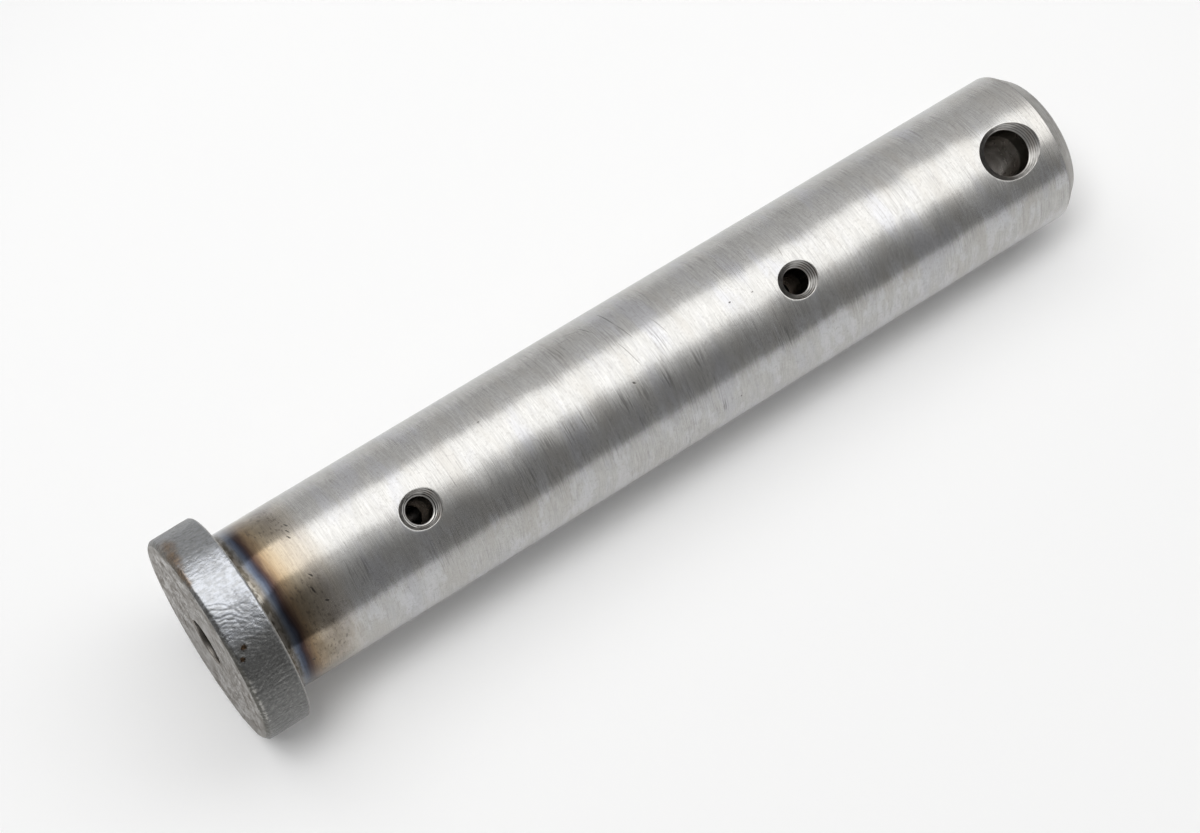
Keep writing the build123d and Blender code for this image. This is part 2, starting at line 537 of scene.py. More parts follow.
def head(skin):
    """The head's face round its mouth, its chamfered rim and the outer part of its back."""
    skin.fan(FACE_INNER, FACE_MIDDLE, 0.0, GALLERY_COLUMNS, FACE_SHEET)
    face = divided([(FACE_MIDDLE, 0.0), (PLAIN_OUTER, 0.0)], FACE_ROW)
    skin.disc([radius for radius, _ in face], 0.0, SHAFT_COLUMNS, FACE_SHEET)
    skin.fan(PLAIN_OUTER, WORN_INNER, 0.0, SHAFT_COLUMNS, FACE_SHEET)
    corners = [
        (WORN_INNER, 0.0),
        (HEAD_RADIUS - HEAD_FACE_CHAMFER, 0.0),
        (HEAD_RADIUS, HEAD_FACE_CHAMFER),
        (HEAD_RADIUS, HEAD_THICKNESS - HEAD_BACK_CHAMFER),
        (HEAD_RADIUS - HEAD_BACK_CHAMFER, HEAD_THICKNESS),
        (WORN_INNER, HEAD_THICKNESS),
    ]
    profile = divided(eased(corners, RIM_BREAK), RIM_ROW)
    points = worn(revolved(profile, HEAD_COLUMNS))
    flat = unrolled(profile, HEAD_COLUMNS, HEAD_RADIUS)
    low = sum(height < FACE_OVER for _, height in profile) - 1
    top = sum(height <= HEAD_THICKNESS - BACK_OVER for _, height in profile)
    skin.grid(points[:low + 1], flat[:low + 1], HEAD_SHEET, TURNED)
    skin.grid(points[low:top + 1], flat[low:top + 1], HEAD_SHEET, ROLLED)
    skin.grid(points[top:], flat[top:], HEAD_SHEET, TURNED)


def build_pin():
    """The whole pin, as one closed piece."""
    skin = Skin()
    head(skin)
    neck(skin)
    shaft_wall(skin)
    free_end(skin)
    gallery(skin)
    outlet(skin, OUTLET_HEIGHTS[0], NEAR_RINGS, NEAR_OUTLET_SHEET)
    outlet(skin, OUTLET_HEIGHTS[1], FAR_RINGS, FAR_OUTLET_SHEET)
    cross_hole(skin, CROSS_RINGS)
    return new_object("steel_pin", skin.mesh("steel_pin"))


class Look:
    """A material or world under construction; each helper adds nodes and gives back their output."""

    def __init__(self, owner):
        owner.use_nodes = True
        self.owner = owner
        self.tree = owner.node_tree
        self.tree.nodes.clear()
        self.coordinates = self.add("ShaderNodeTexCoord")
        self.place = self.coordinates.outputs["Object"]

    def feed(self, socket, value):
        """Links an output to a socket, or sets the socket's own value; one number makes a grey."""
        if isinstance(value, bpy.types.NodeSocket):
            self.tree.links.new(value, socket)
        elif socket.type == "RGBA":
            colour = value if isinstance(value, tuple) else (value, value, value)
            socket.default_value = (*colour, 1.0)
        else:
            socket.default_value = value

    def add(self, kind, inputs=(), **settings):
        """A node with its settings, and its inputs in their order or by name; None leaves one alone."""
        made = self.tree.nodes.new(kind)
        for name, value in settings.items():
            setattr(made, name, value)
        pairs = inputs.items() if isinstance(inputs, dict) else enumerate(inputs)
        for name, value in pairs:
            if value is not None:
                self.feed(made.inputs[name], value)
        return made

    def math(self, operation, *values):
        return self.add("ShaderNodeMath", values, operation=operation).outputs[0]

    def times(self, first, second):
        return self.math("MULTIPLY", first, second)

    def scaled(self, value, factor, rest):
        """The value times a factor, plus the rest."""
        return self.math("MULTIPLY_ADD", value, factor, rest)

    def waver(self, value, noise, size):
        """The value moved up and down by a noise."""
        return self.scaled(self.math("SUBTRACT", noise, 0.5), size, value)

    def vector(self, operation, *values):
        made = self.add("ShaderNodeVectorMath", values, operation=operation)
        return made.outputs["Value" if operation in ("DOT_PRODUCT", "LENGTH") else "Vector"]

    def along(self, axis):
        """How far along an axis of the frame, in metres."""
        return self.add("ShaderNodeSeparateXYZ", (self.place,)).outputs[axis]

    def height_over(self, height):
        """Height in metres above this height in mm."""
        return self.math("SUBTRACT", self.along("Z"), height * MM)

    def facing(self, angle, radius=SHAFT_RADIUS):
        """How squarely a point of a round wall faces this angle round the pin: 1 straight at it."""
        turn, reach = math.radians(angle), radius * MM
        way = (math.cos(turn) / reach, math.sin(turn) / reach, 0.0)
        return self.vector("DOT_PRODUCT", self.place, way)

    def noise(self, scale, detail=2.0, roughness=0.5):
        """Noise from its counts a metre: one for all ways, or a pair for across and along the pin."""
        place = self.place
        if isinstance(scale, tuple):
            across, along = scale
            place = self.vector("MULTIPLY", place, (across, across, along))
            scale = 1.0
        inputs = {"Vector": place, "Scale": scale, "Detail": detail, "Roughness": roughness}
        return self.add("ShaderNodeTexNoise", inputs).outputs[0]

    def between(self, value, low, high, start=0.0, end=1.0):
        """Goes smoothly from start to end while the value goes from low to high."""
        inputs = (value, low, high, start, end)
        return self.add("ShaderNodeMapRange", inputs, interpolation_type="SMOOTHSTEP").outputs[0]

    def mix(self, share, first, second, blend="MIX"):
        inputs = {0: share, 6: first, 7: second}
        return self.add("ShaderNodeMix", inputs, data_type="RGBA", blend_type=blend).outputs[2]

    def two_tone(self, value, low, high, first, second):
        """One shade where the value is low, and the other where it is high."""
        return self.mix(self.between(value, low, high), first, second)

    def tint(self, colour, value, low, high, share, shade):
        """The colour, with up to this share of a shade where the value is high."""
        return self.mix(self.between(value, low, high, 0.0, share), colour, shade)

    def cover(self, colour, mask, share, shade):
        """The colour, with this share of a shade inside a mask."""
        return self.mix(self.times(mask, share), colour, shade)

    def ramp(self, value, stops):
        """A colour for each value, from a list of (value, colour)."""
        made = self.add("ShaderNodeValToRGB", (value,))
        elements = made.color_ramp.elements
        while len(elements) < len(stops):
            elements.new(0.5)
        for element, (place, colour) in zip(elements, stops):
            element.position = place
            element.color = (*colour, 1.0)
        return made.outputs[0]

    def bump(self, height, distance, normal=None):
        inputs = {"Height": height, "Distance": distance, "Normal": normal}
        return self.add("ShaderNodeBump", inputs).outputs[0]

    def crests(self):
        """0 in the valleys of the mesh and 1 on its crests, 0.5 where it is flat."""
        return self.between(self.add("ShaderNodeNewGeometry").outputs["Pointiness"], 0.44, 0.56)

    def mixed(self, share, first, second):
        """Two surfaces, with this share of the second."""
        return self.add("ShaderNodeMixShader", (share, first, second)).outputs[0]

    def glow(self, strength):
        return self.add("ShaderNodeEmission", {"Strength": strength}).outputs[0]

    def end(self, kind, surface):
        self.add(kind, {"Surface": surface})
        return self.owner

    def metal(self, colour, roughness, normal, edge=None):
        """The finished material, as metal; edge is the share of light that it keeps at a grazing angle."""
        inputs = {"Metallic": 1.0, "Base Color": colour, "Roughness": roughness, "Normal": normal}
        inputs["Specular Tint"] = edge
        surface = self.add("ShaderNodeBsdfPrincipled", inputs).outputs[0]
        return self.end("ShaderNodeOutputMaterial", surface)


def new_look(name):
    return Look(bpy.data.materials.new(name))


# Temper colours on the shaft beside the head: share of the bare metal's colour by distance from it in mm
TEMPER_REACH = 26.0
TEMPER = [
    (0.0, (0.66, 0.64, 0.60)),
    (0.8, (0.56, 0.53, 0.48)),
    (1.6, (0.40, 0.365, 0.32)),
    (2.4, (0.35, 0.345, 0.35)),
    (3.3, (0.25, 0.29, 0.37)),
    (4.2, (0.125, 0.15, 0.22)),
    (5.2, (0.085, 0.07, 0.085)),
    (6.2, (0.16, 0.10, 0.08)),
    (8.2, (0.58, 0.42, 0.265)),
    (10.3, (0.80, 0.65, 0.46)),
    (12.3, (0.86, 0.745, 0.585)),
    (16.3, (0.85, 0.77, 0.665)),
    (20.3, (0.92, 0.87, 0.80)),
    (24.3, (1.0, 1.0, 1.0)),
]

# Angles round the pin, in degrees. The temper colours are paler on the far side from the temper angle, and
# their bands lie further from the head round the band angle, by the drift in mm. Soot and painted shade
# darken them round the shade angles, which lie on both sides of the softbox's highlight, and pale scuffs lie
# round the scuff angle.
TEMPER_ANGLE = 300.0
BAND_ANGLE = 281.0
BAND_DRIFT = 0.7
SOOT_AND_SHADE_ANGLES = (215.0, 288.0, 328.0)
SCUFF_ANGLE = 325.0

# Small dark marks on the shaft: angle in degrees, height, length and width in mm, lean from the axis
SHAFT_MARKS = [
    (230.6, 32.9, 1.5, 0.42, 70.0),
    (235.6, 32.3, 1.5, 0.40, 70.0),
    (239.9, 31.5, 1.5, 0.42, 70.0),
    (269.2, 30.6, 1.6, 0.50, 60.0),
    (279.1, 29.3, 2.8, 0.55, 75.0),
    (288.4, 31.2, 1.4, 0.60, 30.0),
    (239.5, 94.4, 0.6, 0.45, 0.0),
    (272.0, 138.6, 1.0, 0.6, 40.0),
    (259.2, 176.3, 0.7, 0.5, 0.0),
    (261.0, 183.9, 0.7, 0.4, 0.0),
    (322.3, 20.9, 1.0, 0.6, 30.0),
    (323.5, 167.8, 0.6, 0.5, 0.0),
]

# Long fine scratches, and patches hatched with short dark strokes, in the same measures
SCRATCHES = [
    (218.3, 144.4, 9.2, 0.40, 83.8),
    (237.2, 145.6, 7.4, 0.36, 79.8),
    (253.6, 142.5, 9.5, 0.32, 80.3),
    (247.2, 154.9, 7.2, 0.26, 79.6),
    (212.6, 133.5, 6.1, 0.30, 24.0),
    (216.1, 130.0, 3.7, 0.28, 4.0),
    (217.0, 137.1, 6.7, 0.30, 70.7),
    (246.7, 198.6, 3.6, 0.28, 96.5),
]
HATCHED = [
    (277.1, 121.1, 9.0, 6.0, 95.0),
    (275.5, 115.0, 8.0, 5.0, 92.0),
    (279.6, 133.5, 9.0, 5.0, 88.0),
    (279.8, 139.5, 7.5, 5.0, 95.0),
    (280.6, 148.0, 8.0, 5.0, 92.0),
    (280.0, 158.1, 8.0, 7.0, 92.0),
    (275.2, 107.0, 6.0, 6.0, 90.0),
    (290.0, 98.0, 9.0, 7.0, 90.0),
    (284.0, 43.0, 10.0, 9.0, 90.0),
    (338.0, 148.8, 12.0, 3.0, 82.0),
    (323.6, 161.8, 7.0, 3.0, 81.6),
    (300.0, 186.0, 11.0, 8.0, 90.0),
    (255.0, 152.0, 12.0, 5.0, 84.0),
    (222.0, 126.0, 9.0, 6.0, 80.0),
]

# Marks on the rim, in the same measures: rust pits and soft brown stains
RUST_PITS = [
    (282.8, 4.0, 2.0, 1.8, 0.0),
    (287.6, 2.2, 1.7, 1.6, 0.0),
]
STAINS = [
    (212.0, 2.5, 5.0, 12.0, 0.0),
    (223.0, 1.7, 4.0, 13.0, 0.0),
    (236.0, 0.8, 2.2, 14.0, 0.0),
]

# How far into the wall a mark reaches, in mm
MARK_DEPTH = 4.0

# The rim's skin is shiniest round this angle, where its colour is left paler as a painted highlight, and its
# low edge is burred round the other one, where painted shade is darkest
RIM_SHINE_AND_PAINTED_LIGHT = 253.5
RIM_BURR_AND_PAINTED_SHADE = 320.0


def all_marks(look, radius, marks, grain=None, core=0.65, ragged=2.2):
    """1 inside these marks on a round wall, 0 outside; grain makes their edges ragged, a small core soft."""
    made = 0.0
    for angle, height, length, width, lean in marks:
        turn = math.radians(angle)
        inputs = {
            "Vector": look.place,
            "Location": (math.cos(turn) * radius * MM, math.sin(turn) * radius * MM, height * MM),
            "Rotation": (math.radians(-lean), 0.0, turn),
            "Scale": (MARK_DEPTH * MM, width * MM / 2.0, length * MM / 2.0),
        }
        local = look.add("ShaderNodeMapping", inputs, vector_type="TEXTURE").outputs[0]
        reach = look.vector("LENGTH", local)
        if grain is not None:
            reach = look.waver(reach, grain, ragged)
        made = look.math("MAXIMUM", made, look.between(reach, core, 1.25, 1.0, 0.0))
    return made


def temper_tint(look):
    """The temper colours beside the head, in bands that waver a little."""
    drift = look.between(look.facing(BAND_ANGLE), 0.86, 0.97)
    reach = look.height_over(HEAD_THICKNESS)
    reach = look.waver(reach, look.noise(34.0), 0.0024)
    reach = look.waver(reach, look.noise((150.0, 700.0)), 0.0013)
    reach = look.scaled(drift, -BAND_DRIFT * MM, reach)
    reach = look.math("DIVIDE", reach, TEMPER_REACH * MM)
    tint = look.ramp(reach, [(distance / TEMPER_REACH, share) for distance, share in TEMPER])
    strength = look.between(look.facing(TEMPER_ANGLE), -0.25, 0.15, 0.5, 1.0)
    return look.mix(strength, (1.0, 1.0, 1.0), tint)


def soot_and_shade_mask(look):
    """Where the shaft beside the head is darkened, from 0 to 1: partly sooty, partly painted shade beside
    the highlight.
    """
    above = look.height_over(HEAD_THICKNESS)
    beside = look.times(look.between(above, 0.005, 0.010), look.between(above, 0.022, 0.014))
    # Painted shade: the angles lie on both sides of where the softbox's highlight falls, so that side stays
    # paler
    round_it = 0.0
    for angle in SOOT_AND_SHADE_ANGLES:
        here = look.between(look.facing(angle), 0.90, 0.98)
        round_it = look.math("MAXIMUM", round_it, here)
    cloud = look.between(look.noise(210.0, detail=3.0), 0.3, 0.6, 0.4, 1.0)
    return look.times(look.times(beside, round_it), cloud)


def neck_soot_and_shade(look, colour):
    """Soot and painted shade with dark dots beside the head, and darker patches in the neck's corner, over
    the colour.
    """
    soot_and_shade = soot_and_shade_mask(look)
    # Partly sooty, partly painted shade beside the head
    colour = look.cover(colour, soot_and_shade, 0.4, (0.05, 0.04, 0.035))
    dots = look.between(look.noise((700.0, 1500.0)), 0.56, 0.68)
    dots = look.times(dots, look.between(soot_and_shade, 0.05, 0.5))
    colour = look.cover(colour, dots, 0.5, (0.07, 0.055, 0.045))
    # Darker patches in the corner of the neck, strongest next to the head
    corner_patches = look.between(look.noise((330.0, 700.0), detail=4.0, roughness=0.7), 0.46, 0.60)
    corner = look.between(look.height_over(HEAD_THICKNESS), 0.0014, 0.0044, 0.85, 0.0)
    return look.cover(colour, corner_patches, corner, (0.055, 0.048, 0.035))


def shaft_marks(look, strokes, specks):
    """The shaft's dark marks, with its fainter scratches and hatched patches, from 0 to 1."""
    marks = all_marks(look, SHAFT_RADIUS, SHAFT_MARKS, specks)
    scratches = look.times(all_marks(look, SHAFT_RADIUS, SCRATCHES), 0.55)
    hatched = all_marks(look, SHAFT_RADIUS, HATCHED, core=0.0)
    hatched = look.times(hatched, look.between(strokes, 0.48, 0.56, 0.0, 0.45))
    return look.math("MAXIMUM", marks, look.math("MAXIMUM", scratches, hatched))


def ground_steel():
    """Bare shaft, ground round and round, with scratches, blotches and the temper colours."""
    look = new_look("ground_steel")
    lines = look.noise((170.0, 3300.0), roughness=0.65)
    bands = look.noise((60.0, 900.0), detail=3.0, roughness=0.6)
    strokes = look.noise((120.0, 2300.0), detail=1.0)
    cloud = look.noise((34.0, 105.0), detail=5.0, roughness=0.6)
    swell = look.noise((36.0, 60.0), detail=1.0)
    mottle = look.noise((160.0, 650.0), detail=3.0, roughness=0.6)
    specks = look.noise(1300.0)
    crowd = look.between(look.noise(75.0, detail=3.0), 0.42, 0.60)
    crowded = look.times(look.between(strokes, 0.55, 0.66), crowd)
    scuffs = look.between(look.noise((75.0, 190.0), detail=5.0, roughness=0.65), 0.48, 0.60)
    scuffs = look.times(scuffs, look.between(look.facing(SCUFF_ANGLE), 0.72, 0.92))
    colour = look.two_tone(lines, 0.34, 0.66, (0.385, 0.38, 0.368), (0.475, 0.47, 0.455))
    colour = look.tint(colour, bands, 0.4, 0.7, 0.35, (0.51, 0.505, 0.495))
    colour = look.tint(colour, mottle, 0.42, 0.62, 0.3, (0.37, 0.365, 0.355))
    colour = look.tint(colour, cloud, 0.50, 0.66, 0.55, (0.44, 0.443, 0.47))
    colour = look.tint(colour, cloud, 0.49, 0.35, 0.55, (0.405, 0.39, 0.365))
    colour = look.cover(colour, scuffs, 0.5, (0.54, 0.545, 0.565))
    colour = look.tint(colour, specks, 0.52, 0.70, 0.35, (0.29, 0.28, 0.27))
    colour = look.cover(colour, crowded, 0.3, (0.22, 0.21, 0.21))
    colour = look.mix(1.0, colour, temper_tint(look), "MULTIPLY")
    colour = neck_soot_and_shade(look, colour)
    marks = shaft_marks(look, strokes, specks)
    colour = look.cover(colour, marks, 0.85, (0.05, 0.045, 0.04))
    roughness = look.scaled(mottle, 0.05, look.scaled(bands, 0.05, 0.195))
    smoother = look.between(look.height_over(HEAD_THICKNESS), 0.006, 0.022, 0.12, 0.0)
    roughness = look.math("SUBTRACT", roughness, smoother)
    relief = look.scaled(crowded, -1.0, look.scaled(bands, 0.8, lines))
    relief = look.scaled(marks, -3.0, relief)
    normal = look.bump(relief, 0.0000065)
    return look.metal(colour, roughness, look.bump(swell, 0.0007, normal))


def rim_shade_and_flecks(look, colour, scale, dull_and_painted_shade):
    """Painted shade off the rim's shiny side, darkest round its low side, with pale flecks and fine cracks
    there.
    """
    # Painted shade: darker away from the shiny side, and darkest round the low side
    painted_low_side_shade = look.between(look.facing(RIM_BURR_AND_PAINTED_SHADE, HEAD_RADIUS), 0.6, 0.9, 0.55, 0.95)
    colour = look.cover(colour, dull_and_painted_shade, painted_low_side_shade, (0.135, 0.135, 0.13))
    flecks = look.times(look.between(scale, 0.50, 0.66), dull_and_painted_shade)
    colour = look.cover(colour, flecks, 0.4, (0.34, 0.34, 0.33))
    cracks = look.times(look.between(scale, 0.47, 0.34), dull_and_painted_shade)
    return look.cover(colour, cracks, 0.4, (0.06, 0.06, 0.056))


def rim_edges(look, colour, grains, above):
    """Painted shade as a dark ragged edge along the face's chamfer, and a paler edge at the back, over the
    rim's colour.
    """
    # Painted shade on the chamfer at the face
    low = look.between(look.waver(above, grains, 0.0022), 0.0005, 0.0014, 1.0, 0.0)
    colour = look.cover(colour, low, 0.65, (0.09, 0.085, 0.07))
    return look.tint(colour, above, 0.0134, 0.0137, 1.0, (0.30, 0.295, 0.28))


def rim_marks(look, colour, grains, blots, above):
    """Brown stains, pale burrs on the low edge and rust pits over the rim's colour."""
    stains = all_marks(look, HEAD_RADIUS, STAINS, blots, core=0.1, ragged=1.3)
    brown = look.two_tone(grains, 0.40, 0.60, (0.10, 0.07, 0.045), (0.19, 0.125, 0.07))
    colour = look.cover(colour, stains, 0.8, brown)
    burrs = look.between(look.facing(RIM_BURR_AND_PAINTED_SHADE, HEAD_RADIUS), 0.90, 0.95)
    burrs = look.times(burrs, look.between(blots, 0.46, 0.58, 0.05, 0.9))
    burrs = look.times(burrs, look.between(above, 0.0024, 0.0018))
    colour = look.cover(colour, burrs, look.between(look.crests(), 0.5, 0.8), (0.40, 0.39, 0.37))
    pits = all_marks(look, HEAD_RADIUS, RUST_PITS, grains)
    rust = look.two_tone(grains, 0.4, 0.6, (0.022, 0.016, 0.011), (0.10, 0.062, 0.036))
    return look.mix(pits, colour, rust)


def rolled_skin():
    """The head's rim: grey rolled skin, pale crests, painted shade off its shiny side, brown stains and rust
    pits.
    """
    look = new_look("rolled_skin")
    swirls = look.noise((900.0, 450.0), detail=3.0, roughness=0.6)
    grains = look.noise(1500.0, detail=3.0, roughness=0.65)
    scale = look.noise((1500.0, 1000.0), detail=4.0, roughness=0.7)
    blots = look.noise(420.0, detail=4.0, roughness=0.6)
    above = look.height_over(0.0)
    # Painted highlight and shade: the colour stays paler round the shiny angle and is darkened elsewhere;
    # the same mask makes the skin rougher away from that angle
    shine_and_painted_light = look.waver(look.facing(RIM_SHINE_AND_PAINTED_LIGHT, HEAD_RADIUS), look.noise(110.0, detail=4.0), 0.12)
    dull_and_painted_shade = look.between(shine_and_painted_light, 0.875, 0.96, 1.0, 0.0)
    colour = look.two_tone(swirls, 0.38, 0.62, (0.285, 0.293, 0.305), (0.39, 0.405, 0.435))
    colour = look.tint(colour, grains, 0.40, 0.75, 0.5, (0.40, 0.404, 0.41))
    colour = look.tint(colour, look.crests(), 0.5, 0.0, 0.8, (0.12, 0.118, 0.11))
    colour = rim_shade_and_flecks(look, colour, scale, dull_and_painted_shade)
    colour = rim_edges(look, colour, grains, above)
    colour = rim_marks(look, colour, grains, blots, above)
    roughness = look.scaled(dull_and_painted_shade, 0.14, look.scaled(swirls, 0.14, 0.18))
    relief = look.scaled(scale, 1.2, look.scaled(swirls, 1.5, grains))
    relief = look.times(relief, look.between(shine_and_painted_light, 0.93, 0.985, 1.0, 0.35))
    return look.metal(colour, roughness, look.bump(relief, 0.00009))


def turned_steel():
    """The head's face and back and the free end: faint turning rings, matt and a little stained."""
    look = new_look("turned_steel")
    radius = look.vector("LENGTH", look.vector("MULTIPLY", look.place, (1.0, 1.0, 0.0)))
    turning = {"W": radius, "Scale": 1300.0, "Detail": 3.0}
    rings = look.add("ShaderNodeTexNoise", turning, noise_dimensions="1D").outputs[0]
    cloud = look.noise(130.0, detail=4.0, roughness=0.65)
    blots = look.noise(420.0, detail=3.0, roughness=0.6)
    specks = look.noise(1200.0)
    streaks = look.noise(200.0, detail=5.0, roughness=0.7)
    worked = look.between(look.height_over(0.0), 0.02, 0.05, 1.0, 0.35)
    colour = look.two_tone(rings, 0.3, 0.7, (0.26, 0.255, 0.245), (0.38, 0.372, 0.36))
    for pattern, low, high, share, shade in (
        (cloud, 0.42, 0.60, 0.8, (0.17, 0.155, 0.135)),
        (blots, 0.44, 0.68, 0.8, (0.43, 0.425, 0.415)),
        (specks, 0.58, 0.70, 0.7, (0.09, 0.08, 0.065)),
    ):
        soiled = look.times(look.between(pattern, low, high), worked)
        colour = look.cover(colour, soiled, share, shade)
    colour = look.tint(colour, radius, 0.0275, 0.0305, 0.5, (0.20, 0.195, 0.18))
    edge = look.two_tone(streaks, 0.42, 0.60, (1.0, 0.99, 0.98), (0.42, 0.395, 0.37))
    edge = look.tint(edge, specks, 0.52, 0.68, 0.7, (0.30, 0.27, 0.24))
    edge = look.tint(edge, blots, 0.5, 0.66, 0.5, (1.0, 0.99, 0.98))
    edge = look.mix(worked, (1.0, 1.0, 1.0), edge)
    roughness = look.scaled(cloud, 0.22, 0.24)
    relief = look.scaled(blots, 2.0, look.scaled(specks, -1.0, rings))
    return look.metal(colour, roughness, look.bump(relief, 0.00003), edge)


def drilled_steel():
    """Walls of the bores and the recess: smooth, with the drill's fine lines, darker inside the head,
    painted shade near the mouths.
    """
    look = new_look("drilled_steel")
    lines = look.noise(500.0, detail=3.0)
    stains = look.noise(160.0, detail=4.0, roughness=0.6)
    reach = look.waver(look.math("ABSOLUTE", look.along("Y")), stains, 0.003)
    colour = look.two_tone(stains, 0.36, 0.64, (0.36, 0.33, 0.305), (0.58, 0.55, 0.52))
    colour = look.tint(colour, lines, 0.5, 0.75, 0.5, (0.38, 0.34, 0.31))
    in_head = look.between(look.along("Z"), 0.014, 0.020, 0.7, 0.0)
    colour = look.mix(in_head, colour, (0.13, 0.12, 0.105))
    # Painted shade: the bores' walls are darkened near their mouths
    colour = look.tint(colour, reach, 0.0145, 0.0162, 0.85, (0.045, 0.042, 0.036))
    roughness = look.scaled(lines, 0.2, 0.2)
    return look.metal(colour, roughness, look.bump(lines, 0.00003), (0.7, 0.68, 0.65))


def sunk_steel():
    """The countersinks: brighter than the bores, with painted shade in the rings' grooves and painted
    highlights on their crests.
    """
    look = new_look("sunk_steel")
    lines = look.noise(700.0, detail=3.0)
    arcs = look.noise(260.0)
    turns = 2.0 * math.pi / (RING_STEP * MM)
    first = (SHAFT_RADIUS - FIRST_CREST) * MM
    phase = look.scaled(look.math("ABSOLUTE", look.along("Y")), turns, -first * turns)
    wave = look.math("COSINE", phase)
    # Painted shade in the rings' grooves, less of it in the cross hole
    groove = look.times(look.between(wave, 0.3, -0.8), look.between(arcs, 0.38, 0.58, 0.25, 1.0))
    painted_groove_shade = look.between(look.height_over(CROSS_HEIGHT), -0.015, -0.014, 0.95, 0.6)
    colour = look.two_tone(lines, 0.3, 0.7, (0.40, 0.39, 0.375), (0.52, 0.505, 0.485))
    colour = look.tint(colour, arcs, 0.52, 0.70, 0.5, (0.47, 0.41, 0.36))
    colour = look.cover(colour, groove, painted_groove_shade, (0.085, 0.078, 0.07))
    # Painted highlight along the rings' crests
    colour = look.tint(colour, wave, 0.55, 1.0, 0.45, (0.66, 0.65, 0.63))
    roughness = look.scaled(lines, 0.12, 0.25)
    return look.metal(colour, roughness, look.bump(lines, 0.00002))


# Camera, in the frame's metres: where it stands, what it looks at and how far it leans over
CAMERA_PLACE = Vector((0.0175097, -0.7331557, -0.0855525))
CAMERA_AIM = Vector((0.0034878, 0.0000667, 0.1322025))
CAMERA_LEAN = math.radians(-58.599)
CAMERA_LENS = 78.1

# The photographed bench touches the pin along this side, at the rim and near the free end
BENCH_AZIMUTH = math.radians(68.28)
BENCH_AT_RIM = 13.4
BENCH_AT_END = CHAMFER_START

# Brightness of the white surroundings, as the camera sees them
BACKGROUND = 0.91

# Bench and floor: half their width in metres, their paint, how far out they start and end to melt into
# the white, and a glow that stands for stray light
STAGE_SIZE = 1.2
PAINT = 0.9
BENCH_MELT = (0.20, 0.32)
BENCH_GLOW = 0.065
FLOOR_MELT = (0.16, 0.42)
FLOOR_GLOW = 0.60
FLOOR_PLACE = Vector((0.0, 0.0, -0.0004))

# The softbox that the metal reflects: height over the bench, and middle and size as shares of that height
SOFTBOX_HEIGHT = 1.15
SOFTBOX_PLACE = (0.15, 0.36)
SOFTBOX_SIZE = (2.2, 0.82)
SOFTBOX_TURN = math.radians(-2.2)
SOFTBOX_POWER = 10.6

# The lamp that lights the bench and casts the pin's soft shadow, in the same measures
KEY_HEIGHT = 2.5
KEY_PLACE = (-0.24, -0.22)
KEY_SIZE = (0.44, 0.44)
KEY_POWER = 30.4

# The room as the metal reflects it, and its light on the bench
ROOM_NEAR = 0.27
ROOM_ABOVE = 0.85
ROOM_FAR = 0.73
ROOM_BELOW = 0.75
ROOM_LIGHT = 0.20


def placed(place, right, up, back):
    """The matrix that stands an object at a place with its X, Y and Z along these directions."""
    return Matrix.Translation(place) @ Matrix((right, up, back)).transposed().to_4x4()


def camera_directions():
    """The camera's right, up and forward directions."""
    forward = (CAMERA_AIM - CAMERA_PLACE).normalized()
    level = forward.cross(Vector((0.0, 0.0, 1.0))).normalized()
    upright = level.cross(forward)
    up = upright * math.cos(CAMERA_LEAN) + level * math.sin(CAMERA_LEAN)
    return forward.cross(up), up, forward


def make_camera():
    right, up, forward = camera_directions()
    data = bpy.data.cameras.new("camera")
    data.lens = CAMERA_LENS
    data.sensor_width = 36.0
    data.clip_start = 0.01
    data.clip_end = 50.0
    camera = new_object("camera", data)
    camera.matrix_world = placed(CAMERA_PLACE, right, up, -forward)
    bpy.context.scene.camera = camera


def bench_directions():
    """The bench's upward normal, the camera's right along it, the way off from the camera, and its touch."""
    touch = Vector((math.cos(BENCH_AZIMUTH), math.sin(BENCH_AZIMUTH), 0.0))
    rim = touch * HEAD_RADIUS + Vector((0.0, 0.0, BENCH_AT_RIM))
    end = touch * SHAFT_RADIUS + Vector((0.0, 0.0, BENCH_AT_END))
    sideways = Vector((-touch.y, touch.x, 0.0))
    up = (end - rim).cross(sideways).normalized()
    right, _, _ = camera_directions()
    right = (right - up * right.dot(up)).normalized()
    return up, right, up.cross(right), (rim + end) * 0.5 * MM


def pale_surface(name, melt, glow):
    """Pale paint that keeps the pin's shadow, melts into the white further out and is clear from behind."""
    look = new_look(name)
    matt = look.add("ShaderNodeBsdfDiffuse", {"Color": PAINT}).outputs[0]
    lit = look.add("ShaderNodeAddShader", (matt, look.glow(glow))).outputs[0]
    reach = look.vector("LENGTH", look.place)
    melted = look.mixed(look.between(reach, *melt), lit, look.glow(BACKGROUND))
    behind = look.add("ShaderNodeNewGeometry").outputs["Backfacing"]
    clear = look.add("ShaderNodeBsdfTransparent").outputs[0]
    return look.end("ShaderNodeOutputMaterial", look.mixed(behind, melted, clear))


def stage_plane(name, place, right, away, material, in_metal):
    """A square of bench or floor for the camera, which the metal reflects only where in_metal says so."""
    half = STAGE_SIZE
    square = ((-half, -half), (half, -half), (half, half), (-half, half))
    mesh = bpy.data.meshes.new(name)
    mesh.from_pydata([tuple(right * u + away * v) for u, v in square], [], [(0, 1, 2, 3)])
    mesh.materials.append(material)
    plane = new_object(name, mesh)
    plane.location = place
    plane.visible_diffuse = False
    plane.visible_glossy = in_metal
    plane.visible_transmission = False
    plane.visible_shadow = False


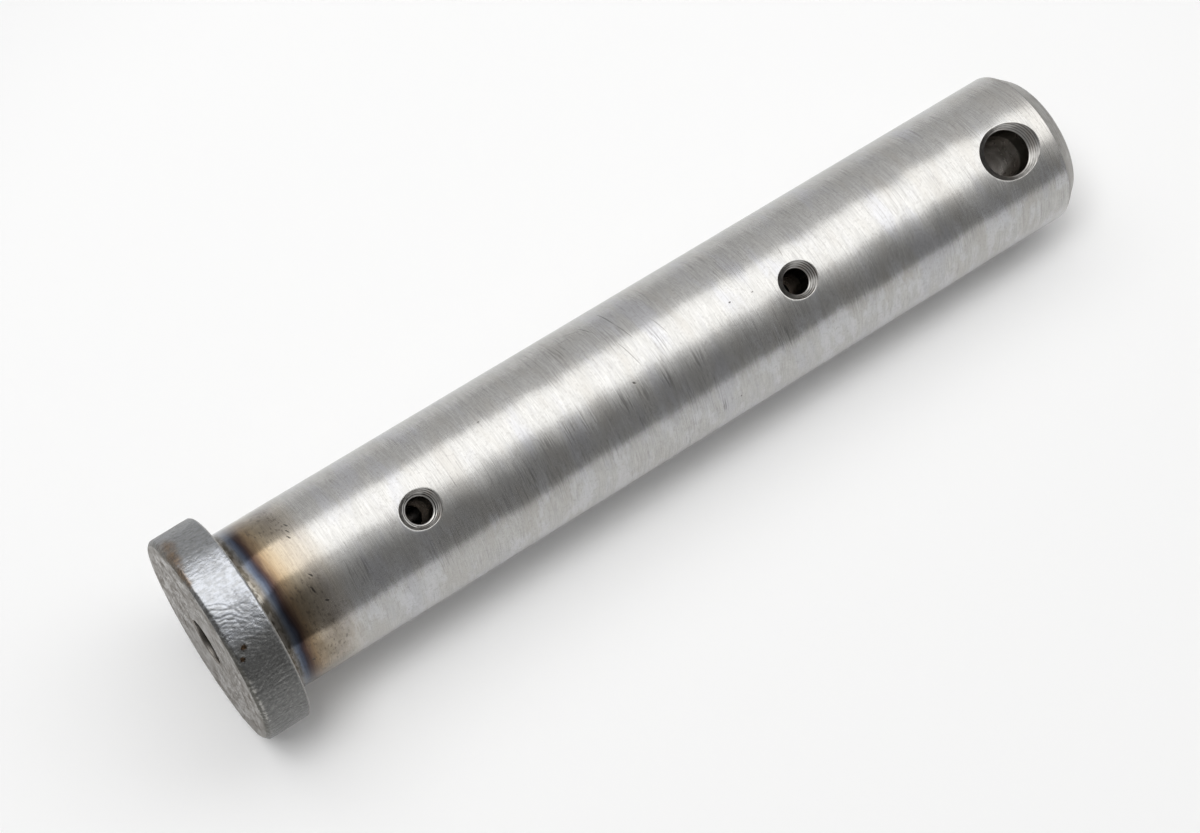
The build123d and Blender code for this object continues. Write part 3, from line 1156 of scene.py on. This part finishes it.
def make_stage():
    """The tilted bench of the photograph, and the floor on which the pin stands in its frame."""
    _, right, away, touch = bench_directions()
    bench = pale_surface("bench_white", BENCH_MELT, BENCH_GLOW)
    stage_plane("bench", touch, right, away, bench, True)
    floor = pale_surface("floor_white", FLOOR_MELT, FLOOR_GLOW)
    stage_plane("floor", FLOOR_PLACE, Vector((1.0, 0.0, 0.0)), Vector((0.0, 1.0, 0.0)), floor, False)


def make_lamp(name, height, place, size, turn, power):
    """A flat lamp that hangs level over the bench, turned about the bench's upright."""
    up, right, away, touch = bench_directions()
    light = bpy.data.lights.new(name, "AREA")
    light.shape = "RECTANGLE"
    light.size = size[0] * height
    light.size_y = size[1] * height
    light.energy = power
    lamp = new_object(name, light)
    middle = touch + (up + right * place[0] + away * place[1]) * height
    side = right * math.cos(turn) + away * math.sin(turn)
    lamp.matrix_world = placed(middle, side, up.cross(side), up)
    lamp.visible_camera = False
    return lamp


def make_lamps():
    softbox = make_lamp("softbox", SOFTBOX_HEIGHT, SOFTBOX_PLACE, SOFTBOX_SIZE, SOFTBOX_TURN, SOFTBOX_POWER)
    softbox.data.color = (1.0, 0.997, 0.99)
    key = make_lamp("key", KEY_HEIGHT, KEY_PLACE, KEY_SIZE, 0.0, KEY_POWER)
    key.visible_glossy = False


def make_room():
    """White to the camera; to the metal a pale room with a bright far wall and a darker near side."""
    up, _, away, _ = bench_directions()
    look = Look(bpy.data.worlds.new("room"))
    way = look.coordinates.outputs["Generated"]
    rise = look.vector("DOT_PRODUCT", way, tuple(up))
    depth = look.vector("DOT_PRODUCT", way, tuple(away))
    near = look.between(depth, -0.42, -0.10, ROOM_NEAR, ROOM_ABOVE)
    far = look.between(rise, 0.15, 0.70, ROOM_FAR, ROOM_ABOVE)
    level = look.math("MINIMUM", near, far)
    level = look.mix(look.between(rise, -0.06, 0.02, 1.0, 0.0), level, ROOM_BELOW)
    path = look.add("ShaderNodeLightPath")
    level = look.mix(path.outputs["Is Diffuse Ray"], level, ROOM_LIGHT)
    level = look.mix(path.outputs["Is Camera Ray"], level, BACKGROUND)
    room = look.add("ShaderNodeBackground", {"Color": 1.0, "Strength": level}).outputs[0]
    bpy.context.scene.world = look.end("ShaderNodeOutputWorld", room)


bpy.context.scene.view_settings.view_transform = "Standard"
make_camera()
make_lamps()
make_room()
make_stage()
steel_pin = build_pin()
for finish in (ground_steel(), rolled_skin(), turned_steel(), drilled_steel(), sunk_steel()):
    steel_pin.data.materials.append(finish)
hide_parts("pin")
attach(steel_pin, "root")
bpy.context.view_layer.update()
